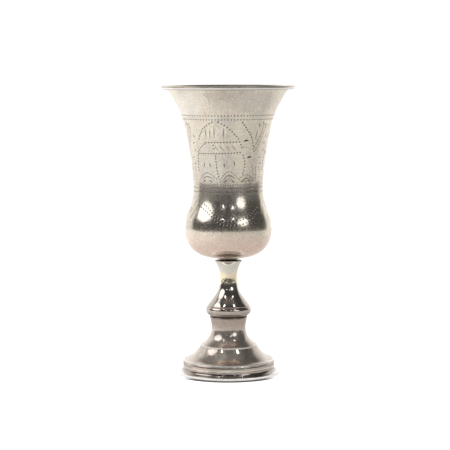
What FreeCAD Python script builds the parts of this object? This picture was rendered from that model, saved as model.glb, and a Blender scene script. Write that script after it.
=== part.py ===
"""Footed silver goblet with a bell-shaped bowl, hollow baluster stem and stepped round foot.

Every part is turned about the goblet's own axis. The frame has its origin at the centre of the
foot's resting face, +Z up. All sizes are in millimetres.

The bowl, its boss and the tie rod hang together as one unit. The rod runs down the hollow stem,
and a nut under the foot's neck clamps the stem, knop and foot up against the bowl.
"""
import FreeCAD, Part
import math
import os

V = FreeCAD.Vector
AXIS_POINT, AXIS_DIRECTION = V(0, 0, 0), V(0, 0, 1)

# ---- driving dimensions -------------------------------------------------------------------
HEIGHT = 135.0            # foot to lip
BOWL_WALL = 0.6           # sheet of the bowl
STEM_WALL = 0.6           # sheet of the stem, knop and foot
STEEPEST_GROWTH = 0.45    # least sine of slope used when a stem wall is set off sideways

# heights of the seams between the parts, from the table up
BASE_RING_TOP = 1.45
COVE_TOP = 3.3
FOOT_BAND_TOP = 6.2
DOME_TOP = 13.0
STEP_TOP = 13.75
LOWER_STEM_TOP = 26.2
COLLAR_TOP = 27.0
KNOP_EQUATOR = 30.2
KNOP_TOP = 31.9
FILLET_TOP = 32.3
UPPER_STEM_TOP = 53.05
CAP_TOP = 54.05
LIP_WIRE_BOTTOM = 133.3
LIP_UNDERSIDE = HEIGHT - BOWL_WALL

# foot
BASE_R = 24.0             # resting ring, the widest part of the foot
BASE_INNER_R = 20.2
BASE_EDGE_ROUND = 0.22    # width of the rounded-over upper edge
BASE_EDGE_BREAK = 0.5     # width of the bevel at the table
BASE_EDGE_LOW = 0.45      # height of that bevel
COVE_R = 22.5             # foot of the hollow moulding that stands on the resting ring
BAND_R = 21.45            # crests of the mouldings of the foot's upright band
BAND_MOULDINGS = (0.5, 1.9, 0.5)  # their heights, from the top down
REED_DEPTH = 0.1          # depth of the grooves beside and between them
MOULDING_INNER_R = 20.6
DOME_EDGE_R = 21.4        # rolled edge of the dome
DOME_EDGE_THICK = 0.65    # height of the rolled edge
STEP_R = 13.35
STEP_INNER_R = 12.3
STEP_ROUND = 0.25

# stem and knop
COLLAR_R = 8.95
COLLAR_INNER_R = 7.4
KNOP_R = 10.65
KNOP_WALL = 0.7
KNOP_SHOULDER_R = 9.0     # where the knop's rounded side meets its flat floor
KNOP_FLOOR_R = 8.4
KNOP_MOUTH_R = 9.85       # open top of the knop's upper half
FILLET_R = 10.1
FILLET_INNER_R = 9.0
CAP_R = 6.75
CAP_EDGE_TOP = 53.5
BOSS_R = 3.4
SPIGOT_R = 2.9            # part of the boss that reaches down into the stem
SPIGOT_CLEARANCE = 0.05
SPIGOT_BOTTOM = 48.0

# lip
LIP_R = 31.2              # turned-out edge of the bowl's own sheet
LIP_WIRE_R = 31.4         # wire soldered under that edge
LIP_WIRE_INNER_R = 28.75  # the wire's inner edge follows the bowl's flare
LIP_WIRE_SEAT_R = 30.0

# fastening
ROD_R = 2.0               # threaded tie rod
ROD_HOLE_R = 2.25         # clearance for the rod in the sheet parts
ROD_CHAMFER = 0.4
ROD_GRIP = 4.8            # length of rod screwed into the boss
ROD_TAIL = 1.2            # rod standing out below the nut
WASHER_R = 4.6
WASHER_THICK = 0.8
NUT_ACROSS_FLATS = 7.0
NUT_THICK = 3.2
NUT_CHAMFER = 0.3

# outer surfaces of the free curves, each as (radius, height) stations from the bottom up
BOWL_STATIONS = [
    (0.0, 54.3), (6.5, 54.6), (12.3, 55.85), (16.3, 58.2), (19.05, 62.0), (20.2, 66.2),
    (20.3, 70.0), (19.51, 74.2), (17.89, 78.5), (16.7, 83.0), (16.25, 88.0), (16.9, 97.0),
    (18.3, 107.0), (20.2, 116.4), (22.6, 123.6), (25.6, 129.2), (27.5, 132.1),
    (28.6, 133.5), (29.9, LIP_UNDERSIDE),
]
UPPER_STEM_STATIONS = [
    (9.8, FILLET_TOP), (7.9, 34.9), (5.85, 37.7), (4.6, 40.6), (4.3, 43.6),
    (4.22, 46.3), (5.03, 50.4), (6.6, UPPER_STEM_TOP),
]
LOWER_STEM_STATIONS = [
    (13.0, STEP_TOP), (10.9, 15.3), (9.1, 17.4), (8.08, 20.2), (8.02, 22.6), (8.65, LOWER_STEM_TOP),
]
DOME_STATIONS = [
    (20.7, 6.85), (18.6, 7.6), (16.5, 9.15), (14.7, 11.1), (13.25, DOME_TOP),
]


# ---- profile helpers ----------------------------------------------------------------------
def point(radius, height):
    """A point of a profile, which is drawn in the XZ plane and turned about Z."""
    return V(radius, 0, height)


def smooth(stations, flat_ends=False):
    """A curve through the stations; with flat_ends it leaves and arrives at right angles to Z."""
    curve = Part.BSplineCurve()
    points = [point(r, z) for r, z in stations]
    if flat_ends:
        outwards = point(1, 0)
        curve.interpolate(Points=points, InitialTangent=outwards, FinalTangent=outwards)
    else:
        curve.interpolate(Points=points)
    return curve


def direction_at(curve, station):
    """Unit direction of the curve at one of its stations, as (radius, height) parts."""
    tangent = curve.tangent(curve.parameter(point(*station)))[0]
    return tangent.x, tangent.z


def inside_by_normal(curve, stations, wall):
    """Stations of the inner face of a sheet, each set in at right angles to the outer face."""
    inner = []
    for r, z in stations:
        along_r, along_z = direction_at(curve, (r, z))
        inner.append((r - wall * along_z, z + wall * along_r))
    return inner


def inside_by_radius(curve, stations, wall):
    """Stations of the inner face of a sheet, each set in level, so that both ends stay flat."""
    inner = []
    for r, z in stations:
        steepness = abs(direction_at(curve, (r, z))[1])
        inner.append((r - wall / max(steepness, STEEPEST_GROWTH), z))
    return inner


def line(a, b):
    return Part.LineSegment(point(*a), point(*b)).toShape()


def arc(a, through, b):
    return Part.Arc(point(*a), point(*through), point(*b)).toShape()


def polyline(*corners):
    return [line(a, b) for a, b in zip(corners, corners[1:])]


def turned(edges):
    """The solid of revolution of a closed profile."""
    face = Part.Face(Part.Wire(edges))
    solid = face.revolve(AXIS_POINT, AXIS_DIRECTION, 360)
    if solid.Volume < 0:
        solid.reverse()
    return solid


def tube_between(outer, inner, outer_stations, inner_stations):
    """A sheet part of revolution between two curves whose ends are joined by flat faces."""
    return turned([
        outer.toShape(),
        line(outer_stations[-1], inner_stations[-1]),
        inner.toShape(),
        line(inner_stations[0], outer_stations[0]),
    ])


def half_round_ring(inner_r, outer_r, bottom, top):
    """A flat ring whose outer edge is a half circle as high as the ring is thick."""
    edge_r = outer_r - (top - bottom) / 2
    return turned([
        line((inner_r, bottom), (edge_r, bottom)),
        arc((edge_r, bottom), (outer_r, (bottom + top) / 2), (edge_r, top)),
        *polyline((edge_r, top), (inner_r, top), (inner_r, bottom)),
    ])


# ---- bowl unit ----------------------------------------------------------------------------
def bowl():
    """Bell-shaped beaker of one sheet, closed at the bottom, with its lip turned out flat."""
    outer = smooth(BOWL_STATIONS, flat_ends=True)
    inner_stations = inside_by_normal(outer, BOWL_STATIONS, BOWL_WALL)
    inner = smooth(inner_stations, flat_ends=True)
    half_wall = BOWL_WALL / 2
    lip_low, lip_high = (LIP_R - half_wall, LIP_UNDERSIDE), (LIP_R - half_wall, HEIGHT)
    return turned([
        outer.toShape(),
        line(BOWL_STATIONS[-1], lip_low),
        arc(lip_low, (LIP_R, HEIGHT - half_wall), lip_high),
        line(lip_high, inner_stations[-1]),
        inner.toShape(),
        line(inner_stations[0], BOWL_STATIONS[0]),
    ])


def bowl_envelope():
    """Everything inside the bowl's outer surface, for trimming what is soldered to it."""
    rim_r = BOWL_STATIONS[-1][0]
    return turned([
        smooth(BOWL_STATIONS, flat_ends=True).toShape(),
        *polyline(BOWL_STATIONS[-1], (rim_r, HEIGHT), (0, HEIGHT), BOWL_STATIONS[0]),
    ])


def lip_wire():
    """Flat wire with a quarter-round outer edge, soldered under the turned-out lip."""
    round_r = LIP_UNDERSIDE - LIP_WIRE_BOTTOM
    low, high = (LIP_WIRE_R - round_r, LIP_WIRE_BOTTOM), (LIP_WIRE_R, LIP_UNDERSIDE)
    on_round = round_r * math.sqrt(0.5)
    inner_low, inner_high = (LIP_WIRE_INNER_R, LIP_WIRE_BOTTOM), (LIP_WIRE_SEAT_R, LIP_UNDERSIDE)
    ring = turned([
        line(inner_low, low),
        arc(low, (LIP_WIRE_R - round_r + on_round, LIP_UNDERSIDE - on_round), high),
        *polyline(high, inner_high, inner_low),
    ])
    return ring.cut(bowl_envelope())


def bowl_boss():
    """Turned boss soldered under the bowl, with a spigot that centres the stem and takes the rod."""
    buried_top = BOWL_STATIONS[0][1] + BOWL_WALL / 2
    body = turned(polyline(
        (0, SPIGOT_BOTTOM), (SPIGOT_R, SPIGOT_BOTTOM), (SPIGOT_R, CAP_TOP), (BOSS_R, CAP_TOP),
        (BOSS_R, buried_top), (0, buried_top), (0, SPIGOT_BOTTOM),
    ))
    tapped_hole = Part.makeCylinder(ROD_R, ROD_GRIP, point(0, SPIGOT_BOTTOM))
    return body.cut(bowl_envelope()).cut(tapped_hole)


def tie_rod():
    """Threaded rod from the boss to just below the nut, with both ends chamfered."""
    top = SPIGOT_BOTTOM + ROD_GRIP
    bottom = LOWER_STEM_TOP - STEM_WALL - WASHER_THICK - NUT_THICK - ROD_TAIL
    tip_r = ROD_R - ROD_CHAMFER
    return turned(polyline(
        (0, bottom), (tip_r, bottom), (ROD_R, bottom + ROD_CHAMFER), (ROD_R, top - ROD_CHAMFER),
        (tip_r, top), (0, top), (0, bottom),
    ))


# ---- stem and knop ------------------------------------------------------------------------
def stem_cap():
    """Shallow cone that closes the top of the hollow stem and carries the boss."""
    hole_r = SPIGOT_R + SPIGOT_CLEARANCE
    edge_round = 0.12
    rim_r = CAP_R - edge_round
    skirt_r = CAP_R - 1.0
    return turned([
        *polyline((hole_r, CAP_TOP), (hole_r, CAP_TOP - STEM_WALL), (skirt_r, UPPER_STEM_TOP),
                  (rim_r, UPPER_STEM_TOP)),
        arc((rim_r, UPPER_STEM_TOP), (CAP_R, (UPPER_STEM_TOP + CAP_EDGE_TOP) / 2),
            (rim_r, CAP_EDGE_TOP)),
        *polyline((rim_r, CAP_EDGE_TOP), (BOSS_R, CAP_TOP), (hole_r, CAP_TOP)),
    ])


def upper_stem():
    """Hollow baluster tube: a wide skirt on the knop, a slim waist and a trumpet at the top."""
    outer = smooth(UPPER_STEM_STATIONS)
    inner_stations = inside_by_radius(outer, UPPER_STEM_STATIONS, STEM_WALL)
    return tube_between(outer, smooth(inner_stations), UPPER_STEM_STATIONS, inner_stations)


def knop_fillet():
    """Thin ring that marks the seam between the stem's skirt and the knop."""
    return half_round_ring(FILLET_INNER_R, FILLET_R, KNOP_TOP, FILLET_TOP)


def knop_upper():
    """Upper half of the hollow knop, from its widest line to the fillet ring."""
    widest, mouth = (KNOP_R, KNOP_EQUATOR), (KNOP_MOUTH_R, KNOP_TOP)
    inner_widest, inner_mouth = (KNOP_R - KNOP_WALL, KNOP_EQUATOR), (KNOP_MOUTH_R - KNOP_WALL, KNOP_TOP)
    bulge_r, bulge_z = KNOP_R - 0.2, KNOP_EQUATOR + 1.0
    return turned([
        arc(widest, (bulge_r, bulge_z), mouth),
        line(mouth, inner_mouth),
        arc(inner_mouth, (bulge_r - KNOP_WALL, bulge_z), inner_widest),
        line(inner_widest, widest),
    ])


def knop_lower():
    """Lower half of the hollow knop: it draws in to a flat floor with a hole for the rod."""
    floor_top = COLLAR_TOP + STEM_WALL
    widest, inner_widest = (KNOP_R, KNOP_EQUATOR), (KNOP_R - KNOP_WALL, KNOP_EQUATOR)
    shoulder, inner_corner = (KNOP_SHOULDER_R, COLLAR_TOP + 0.45), (KNOP_FLOOR_R - 0.2, floor_top)
    bulge_r, bulge_z = KNOP_R - 0.4, KNOP_EQUATOR - 1.45
    foot_of_side = (KNOP_FLOOR_R, COLLAR_TOP + 0.25)
    return turned([
        arc(widest, (bulge_r, bulge_z), shoulder),
        *polyline(shoulder, foot_of_side, (KNOP_FLOOR_R, COLLAR_TOP), (ROD_HOLE_R, COLLAR_TOP),
                  (ROD_HOLE_R, floor_top), inner_corner),
        arc(inner_corner, (bulge_r - KNOP_WALL - 0.1, bulge_z), inner_widest),
        line(inner_widest, widest),
    ])


def collar_ring():
    """Half-round ring between the knop's floor and the foot's neck."""
    return half_round_ring(COLLAR_INNER_R, COLLAR_R, LOWER_STEM_TOP, COLLAR_TOP)


# ---- foot ---------------------------------------------------------------------------------
def lower_stem():
    """Spool-shaped neck of the foot, closed at the top by a flat web that takes the nut's pull."""
    outer = smooth(LOWER_STEM_STATIONS)
    inner_stations = inside_by_radius(outer, LOWER_STEM_STATIONS, STEM_WALL)
    shell = tube_between(outer, smooth(inner_stations), LOWER_STEM_STATIONS, inner_stations)
    web_r = inner_stations[-1][0] + STEM_WALL / 2
    web_base = point(0, LOWER_STEM_TOP - STEM_WALL)
    web = Part.makeCylinder(web_r, STEM_WALL, web_base)
    hole = Part.makeCylinder(ROD_HOLE_R, STEM_WALL, web_base)
    return shell.fuse(web.cut(hole)).removeSplitter()


def step_ring():
    """Narrow ring that makes the step between the foot's neck and its dome."""
    side_top, crown = (STEP_R, STEP_TOP - STEP_ROUND), (STEP_R - STEP_ROUND, STEP_TOP)
    on_round = STEP_ROUND * (1 - math.sqrt(0.5))
    return turned([
        *polyline((STEP_INNER_R, DOME_TOP), (STEP_R, DOME_TOP), side_top),
        arc(side_top, (STEP_R - on_round, STEP_TOP - on_round), crown),
        *polyline(crown, (STEP_INNER_R, STEP_TOP), (STEP_INNER_R, DOME_TOP)),
    ])


def foot_dome():
    """Spun dome that sweeps out to a rolled edge standing on the foot's band."""
    outer = smooth(DOME_STATIONS)
    inner_stations = inside_by_radius(outer, DOME_STATIONS, STEM_WALL)
    start_in_r, start_in_z = inner_stations[0]
    flat_z = FOOT_BAND_TOP + 0.15
    roll_low = (DOME_EDGE_R - 0.12, FOOT_BAND_TOP)
    roll_mid = (DOME_EDGE_R, FOOT_BAND_TOP + 0.3)
    roll_top = (DOME_EDGE_R - 0.3, FOOT_BAND_TOP + DOME_EDGE_THICK)
    return turned([
        outer.toShape(),
        line(DOME_STATIONS[-1], inner_stations[-1]),
        smooth(inner_stations).toShape(),
        *polyline((start_in_r, start_in_z), (start_in_r, flat_z), (MOULDING_INNER_R, flat_z),
                  (MOULDING_INNER_R, FOOT_BAND_TOP), roll_low),
        arc(roll_low, roll_mid, roll_top),
        line(roll_top, DOME_STATIONS[0]),
    ])


def foot_band():
    """Upright strip bent into a ring, rolled with a wide low moulding between two fine reeds."""
    valley_r = BAND_R - REED_DEPTH
    mouldings, top = [], FOOT_BAND_TOP
    for height in BAND_MOULDINGS:
        mouldings.append(arc((valley_r, top), (BAND_R, top - height / 2), (valley_r, top - height)))
        top -= height
    return turned([
        *polyline((valley_r, COVE_TOP), (MOULDING_INNER_R, COVE_TOP),
                  (MOULDING_INNER_R, FOOT_BAND_TOP), (valley_r, FOOT_BAND_TOP)),
        *mouldings,
    ])


def base_cove():
    """Hollow moulding that sweeps from the band out to the resting ring."""
    neck_r = BAND_R - REED_DEPTH
    hollow = (neck_r + 0.3, BASE_RING_TOP + 0.6)
    return turned([
        arc((COVE_R, BASE_RING_TOP), hollow, (neck_r, COVE_TOP)),
        *polyline((neck_r, COVE_TOP), (MOULDING_INNER_R, COVE_TOP),
                  (MOULDING_INNER_R, BASE_RING_TOP), (COVE_R, BASE_RING_TOP)),
    ])


def base_ring():
    """Resting ring, with its upper outer edge rounded over and its lower one cut back."""
    side_low, side_top = (BASE_R, BASE_EDGE_LOW), (BASE_R, BASE_RING_TOP - BASE_EDGE_ROUND)
    crown = (BASE_R - BASE_EDGE_ROUND, BASE_RING_TOP)
    on_round = BASE_EDGE_ROUND * (1 - math.sqrt(0.5))
    return turned([
        *polyline(crown, (BASE_INNER_R, BASE_RING_TOP), (BASE_INNER_R, 0),
                  (BASE_R - BASE_EDGE_BREAK, 0), side_low, side_top),
        arc(side_top, (BASE_R - on_round, BASE_RING_TOP - on_round), crown),
    ])


# ---- fastening ----------------------------------------------------------------------------
def clamp_washer():
    """Plain washer between the nut and the web of the foot's neck."""
    top = LOWER_STEM_TOP - STEM_WALL
    bottom = top - WASHER_THICK
    return turned(polyline(
        (ROD_HOLE_R, bottom), (WASHER_R, bottom), (WASHER_R, top), (ROD_HOLE_R, top),
        (ROD_HOLE_R, bottom),
    ))


def retaining_nut():
    """Hexagon nut on the tie rod, with the corners of both faces chamfered."""
    top = LOWER_STEM_TOP - STEM_WALL - WASHER_THICK
    bottom = top - NUT_THICK
    corner_r, face_r = NUT_ACROSS_FLATS / math.sqrt(3), NUT_ACROSS_FLATS / 2
    angles = [math.radians(60 * k) for k in range(7)]
    corners = [V(corner_r * math.cos(a), corner_r * math.sin(a), bottom) for a in angles]
    prism = Part.Face(Part.makePolygon(corners)).extrude(V(0, 0, NUT_THICK))
    envelope = turned(polyline(
        (0, bottom), (face_r, bottom), (corner_r, bottom + NUT_CHAMFER),
        (corner_r, top - NUT_CHAMFER), (face_r, top), (0, top), (0, bottom),
    ))
    return prism.common(envelope).cut(Part.makeCylinder(ROD_R, NUT_THICK, point(0, bottom)))


PARTS = [
    bowl, lip_wire, bowl_boss, tie_rod,
    stem_cap, upper_stem, knop_fillet, knop_upper, knop_lower, collar_ring,
    lower_stem, step_ring, foot_dome, foot_band, base_cove, base_ring,
    clamp_washer, retaining_nut,
]

os.makedirs("parts", exist_ok=True)
for make in PARTS:
    shape = make()
    shape.exportStep(f"parts/{make.__name__}.step")
    print(f"{make.__name__:14s} solids {len(shape.Solids)}  valid {shape.isValid()}  "
          f"volume {shape.Volume:8.2f} mm3")
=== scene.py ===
"""Looks for the footed silver goblet: fine turned surfaces, an engraved bowl and worn silver."""

import math

import bpy
import numpy as np
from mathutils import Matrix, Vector
from mathutils.geometry import delaunay_2d_cdt


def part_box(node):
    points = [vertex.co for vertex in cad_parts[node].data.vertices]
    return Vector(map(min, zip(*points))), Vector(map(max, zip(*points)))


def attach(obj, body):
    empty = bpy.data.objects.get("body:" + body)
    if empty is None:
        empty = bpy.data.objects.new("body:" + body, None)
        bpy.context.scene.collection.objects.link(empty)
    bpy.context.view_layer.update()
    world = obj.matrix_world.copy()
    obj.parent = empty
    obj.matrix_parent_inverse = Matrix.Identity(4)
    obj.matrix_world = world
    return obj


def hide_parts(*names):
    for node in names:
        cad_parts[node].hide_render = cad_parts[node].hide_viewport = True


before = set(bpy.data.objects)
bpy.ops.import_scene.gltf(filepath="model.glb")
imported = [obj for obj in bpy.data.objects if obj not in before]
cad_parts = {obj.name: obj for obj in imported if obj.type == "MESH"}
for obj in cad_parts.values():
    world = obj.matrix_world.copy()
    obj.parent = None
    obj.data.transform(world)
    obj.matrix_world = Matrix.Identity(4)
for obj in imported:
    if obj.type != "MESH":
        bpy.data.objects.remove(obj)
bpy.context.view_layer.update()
MM = 0.001
COLUMNS = 216             # facets round every turned piece
ARC_STEPS = 14            # facets along an arc of a profile
CURVE_STEP = 0.3          # length of a facet along a curved profile
FINE_STEP = 0.1           # the same where a profile has to follow the bowl closely
scene = bpy.context.scene


# ---- measures of the frame ----------------------------------------------------------------
def seam(node, end):
    """Lowest (0) or highest (1) height of a CAD node in millimetres."""
    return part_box(node)[end].z / MM


def widest(node):
    """Largest radius of a CAD node in millimetres."""
    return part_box(node)[1].x / MM


HEIGHT = seam("bowl", 1)
LIP_UNDER = seam("lip_wire", 1)
WIRE_LOW = seam("lip_wire", 0)
CAP_TOP = seam("stem_cap", 1)
STEM_TOP = seam("upper_stem", 1)
FILLET_TOP = seam("knop_fillet", 1)
KNOP_TOP = seam("knop_upper", 1)
EQUATOR = seam("knop_upper", 0)
COLLAR_TOP = seam("collar_ring", 1)
NECK_TOP = seam("lower_stem", 1)
STEP_TOP = seam("step_ring", 1)
DOME_TOP = seam("foot_dome", 1)
BAND_TOP = seam("foot_band", 1)
COVE_TOP = seam("base_cove", 1)
RING_TOP = seam("base_ring", 1)
LIP_R, WIRE_R = widest("bowl"), widest("lip_wire")
KNOP_R, CAP_R = widest("knop_upper"), widest("stem_cap")
BAND_R, BASE_R = widest("foot_band"), widest("base_ring")

SHEET = 0.6               # thickness of the bowl and of the stem's tubes
BOWL_CURVE = [
    (0.0, 54.3), (6.5, 54.6), (12.3, 55.85), (16.3, 58.2), (19.05, 62.0), (20.2, 66.2),
    (20.3, 70.0), (19.51, 74.2), (17.89, 78.5), (16.7, 83.0), (16.25, 88.0), (16.9, 97.0),
    (18.3, 107.0), (20.2, 116.4), (22.6, 123.6), (25.6, 129.2), (27.5, 132.1),
    (28.6, 133.5), (29.9, LIP_UNDER),
]
UPPER_STEM_CURVE = [
    (9.8, FILLET_TOP), (7.9, 34.9), (5.85, 37.7), (4.6, 40.6), (4.3, 43.6),
    (4.22, 46.3), (5.03, 50.4), (6.6, STEM_TOP),
]
LOWER_STEM_CURVE = [
    (13.0, STEP_TOP), (10.9, 15.3), (9.1, 17.4), (8.08, 20.2), (8.02, 22.6), (8.65, NECK_TOP),
]
DOME_CURVE = [(20.7, 6.85), (18.6, 7.6), (16.5, 9.15), (14.7, 11.1), (13.25, DOME_TOP)]


# ---- profile curves -----------------------------------------------------------------------
def spline(stations, step=CURVE_STEP, flat_ends=False):
    """A cubic curve through (radius, height) stations; flat_ends makes both ends level."""
    p = np.array(stations, float)
    t = np.r_[0, np.cumsum(np.hypot(*np.diff(p, axis=0).T))]
    n, h = len(p), np.diff(t)
    a, b = np.zeros((n, n)), np.zeros((n, 2))
    for i in range(1, n - 1):
        a[i, i - 1:i + 2] = h[i], 2 * (h[i - 1] + h[i]), h[i - 1]
        b[i] = 3 * (h[i] * (p[i] - p[i - 1]) / h[i - 1] + h[i - 1] * (p[i + 1] - p[i]) / h[i])
    if flat_ends:
        a[0, 0] = a[-1, -1] = 1
        b[0] = b[-1] = (1, 0)
    else:  # the third derivative carries on through the first and last inner stations
        d0, d1 = h[0] + h[1], h[-1] + h[-2]
        a[0, :2] = h[1], d0
        b[0] = ((h[0] + 2 * d0) * h[1] * (p[1] - p[0]) / h[0]
                + h[0] ** 2 * (p[2] - p[1]) / h[1]) / d0
        a[-1, -2:] = d1, h[-2]
        b[-1] = (h[-1] ** 2 * (p[-2] - p[-3]) / h[-2]
                 + (2 * d1 + h[-1]) * h[-2] * (p[-1] - p[-2]) / h[-1]) / d1
    m = np.linalg.solve(a, b)
    out = []
    count = max(8, int(t[-1] / step))
    for s in np.linspace(0, t[-1], count + 1):
        i = min(max(int(np.searchsorted(t, s, side="right")) - 1, 0), n - 2)
        u = (s - t[i]) / h[i]
        out.append((2 * u ** 3 - 3 * u ** 2 + 1) * p[i] + (u ** 3 - 2 * u ** 2 + u) * h[i] * m[i]
                   + (3 * u ** 2 - 2 * u ** 3) * p[i + 1] + (u ** 3 - u ** 2) * h[i] * m[i + 1])
    return np.array(out)


def arc(a, through, b):
    """A circular arc through three (radius, height) points."""
    a, c, b = (np.array(v, float) for v in (a, through, b))
    lhs = np.array([c - a, b - a]) * 2
    rhs = np.array([c @ c - a @ a, b @ b - a @ a])
    o = np.linalg.solve(lhs, rhs)
    t = [math.atan2(*(v - o)[::-1]) for v in (a, c, b)]
    turn_c, turn_b = (t[1] - t[0]) % math.tau, (t[2] - t[0]) % math.tau
    if turn_c > turn_b:
        turn_b -= math.tau
    r = np.hypot(*(a - o))
    s = t[0] + np.linspace(0, turn_b, ARC_STEPS + 1)
    return np.c_[o[0] + r * np.cos(s), o[1] + r * np.sin(s)]


def line(a, b, count=1):
    return np.linspace(a, b, count + 1)


def lines(*corners):
    return [line(a, b) for a, b in zip(corners, corners[1:])]


def tangents(curve):
    if len(curve) < 3:
        d = np.repeat([curve[-1] - curve[0]], len(curve), axis=0)
    else:
        t = np.r_[0, np.cumsum(np.hypot(*np.diff(curve, axis=0).T))]
        d = np.gradient(curve, t, axis=0, edge_order=2)
    return d / np.hypot(d[:, 0], d[:, 1])[:, None]


def inside(curve, level=False):
    """The inner face of a sheet, from its outer curve; level moves every point straight inwards."""
    t = tangents(curve)
    least_rise = 0.45     # keeps a nearly level stretch from getting too thick
    if level:
        return np.c_[curve[:, 0] - SHEET / np.maximum(abs(t[:, 1]), least_rise), curve[:, 1]]
    return np.c_[curve[:, 0] - SHEET * t[:, 1], curve[:, 1] + SHEET * t[:, 0]]


# ---- meshes -------------------------------------------------------------------------------
ANGLES = -math.pi + math.tau * np.arange(COLUMNS) / COLUMNS


def on_axis(r):
    return r < 1e-6


class Builder:
    """Collects rings, faces and the exact normals of their corners."""

    def __init__(self):
        self.co, self.faces, self.normals, self.cut = [], [], [], []

    def ring(self, r, z):
        first = len(self.co)
        if on_axis(r):
            self.co.append((0, 0, z))
            return [first] * COLUMNS
        self.co += [(r * math.sin(a), -r * math.cos(a), z) for a in ANGLES]
        return list(range(first, first + COLUMNS))

    def face(self, corners, normals, cut=0):
        self.faces.append(corners)
        self.normals += normals
        self.cut.append(cut)

    def turn(self, curve, first=None, last=None):
        """Turns one curve of a profile; first and last are rings that already exist."""
        t = tangents(curve)
        rings = []
        for i, (r, z) in enumerate(curve):
            known = first if i == 0 else last if i == len(curve) - 1 else None
            rings.append(known or self.ring(r, z))
        for i in range(len(curve) - 1):
            low, high = rings[i], rings[i + 1]
            ln, hn = (t[i, 1], -t[i, 0]), (t[i + 1, 1], -t[i + 1, 0])
            for j in range(COLUMNS):
                k = (j + 1) % COLUMNS
                aj, ak = ANGLES[j], ANGLES[k]
                corners = [(low[j], ln, aj), (low[k], ln, ak), (high[k], hn, ak), (high[j], hn, aj)]
                if low[j] == low[k]:
                    corners.pop(0)
                elif high[j] == high[k]:
                    corners.pop(3)
                self.face([v for v, _, _ in corners],
                          [(n[0] * math.sin(a), -n[0] * math.cos(a), n[1]) for _, n, a in corners])
        return rings

    def make(self, name, materials):
        mesh = bpy.data.meshes.new(name)
        mesh.from_pydata([Vector(v) * MM for v in self.co], [], self.faces)
        for m in materials:
            mesh.materials.append(m)
        mesh.polygons.foreach_set("material_index", np.array(self.cut, np.int32))
        mesh.polygons.foreach_set("use_smooth", np.ones(len(self.faces), bool))
        mesh.normals_split_custom_set(self.normals)
        mesh.update()
        obj = bpy.data.objects.new(name, mesh)
        scene.collection.objects.link(obj)
        return obj


def turned(name, curves, material, node):
    """A closed turned piece that stands for one CAD node."""
    b = Builder()
    first = ring = None
    for i, curve in enumerate(curves):
        last = first if i == len(curves) - 1 else None
        rings = b.turn(np.array(curve, float), first=ring, last=last)
        ring = rings[-1]
        first = first or rings[0]
    return place(b.make(name, [material]), node)


def place(obj, node):
    """Puts a piece in the place of one CAD node."""
    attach(obj, "root")
    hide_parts(node)
    return obj


# ---- node helpers -------------------------------------------------------------------------
class Nodes:
    """Short forms for building a tree of shader nodes."""

    def __init__(self, tree):
        self.t = tree
        self.t.nodes.clear()

    def new(self, kind, inputs=(), **settings):
        n = self.t.nodes.new(kind)
        for k, v in settings.items():
            setattr(n, k, v)
        for k, v in dict(inputs).items():
            self.put(n.inputs[k], v)
        return n

    def put(self, socket, value):
        if isinstance(value, bpy.types.NodeSocket):
            self.t.links.new(value, socket)
        elif value is not None:
            socket.default_value = value

    def math(self, op, a, b=None):
        n = self.new("ShaderNodeMath", operation=op)
        self.put(n.inputs[0], a)
        self.put(n.inputs[1], b)
        return n.outputs[0]

    def step(self, x, low, high, a=0.0, b=1.0):
        """a below low, b above high, with a smooth change between them."""
        n = self.new("ShaderNodeMapRange", interpolation_type="SMOOTHSTEP")
        for i, v in enumerate((x, low, high, a, b)):
            self.put(n.inputs[i], v)
        return n.outputs[0]

    def window(self, x, low, high, soft):
        """One between low and high, with a soft change at both, and nothing outside."""
        return self.math("MULTIPLY", self.step(x, low - soft, low + soft),
                         self.step(x, high - soft, high + soft, 1.0, 0.0))

    def noise(self, vector, scale, detail, rough, distort=0.0):
        n = self.new("ShaderNodeTexNoise", {"Vector": vector, "Scale": scale, "Detail": detail,
                                            "Roughness": rough, "Distortion": distort})
        return n.outputs[0]

    def stretch(self, vector, sx, sy, sz, shift=(0, 0, 0)):
        n = self.new("ShaderNodeMapping", {"Vector": vector, "Scale": (sx, sy, sz), "Location": shift})
        return n.outputs[0]

    def millimetres(self, shift=(0, 0, 0)):
        """The shaded point's place on its object, in millimetres."""
        metres = self.new("ShaderNodeTexCoord").outputs["Object"]
        return self.stretch(metres, 1 / MM, 1 / MM, 1 / MM, shift)

    def axes(self, vector):
        return self.new("ShaderNodeSeparateXYZ", {"Vector": vector}).outputs

    def height(self):
        return self.axes(self.millimetres())[2]

    def length(self, x, y):
        squares = self.math("MULTIPLY", x, x), self.math("MULTIPLY", y, y)
        return self.math("SQRT", self.math("ADD", *squares))

    def mix(self, factor, a, b):
        n = self.new("ShaderNodeMix", data_type="RGBA")
        self.put(n.inputs[0], factor)
        self.put(n.inputs[6], a)
        self.put(n.inputs[7], b)
        return n.outputs[2]

    def bump(self, strength, depth, height, normal=None):
        """Relief of a height, with its depth in millimetres."""
        n = self.new("ShaderNodeBump", {"Strength": strength, "Distance": depth * MM,
                                        "Height": height, "Normal": normal})
        return n.outputs[0]

    def metal(self, color, metallic, roughness, normal=None):
        """The surface of a material, and its output."""
        shader = self.new("ShaderNodeBsdfPrincipled", {
            "Base Color": color, "Metallic": metallic, "Roughness": roughness, "Normal": normal})
        self.new("ShaderNodeOutputMaterial", {"Surface": shader.outputs[0]})


def rgb(r, g, b):
    return (r, g, b, 1.0)


def new_material(name):
    mat = bpy.data.materials.new(name)
    mat.use_nodes = True
    return mat, Nodes(mat.node_tree)


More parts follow.
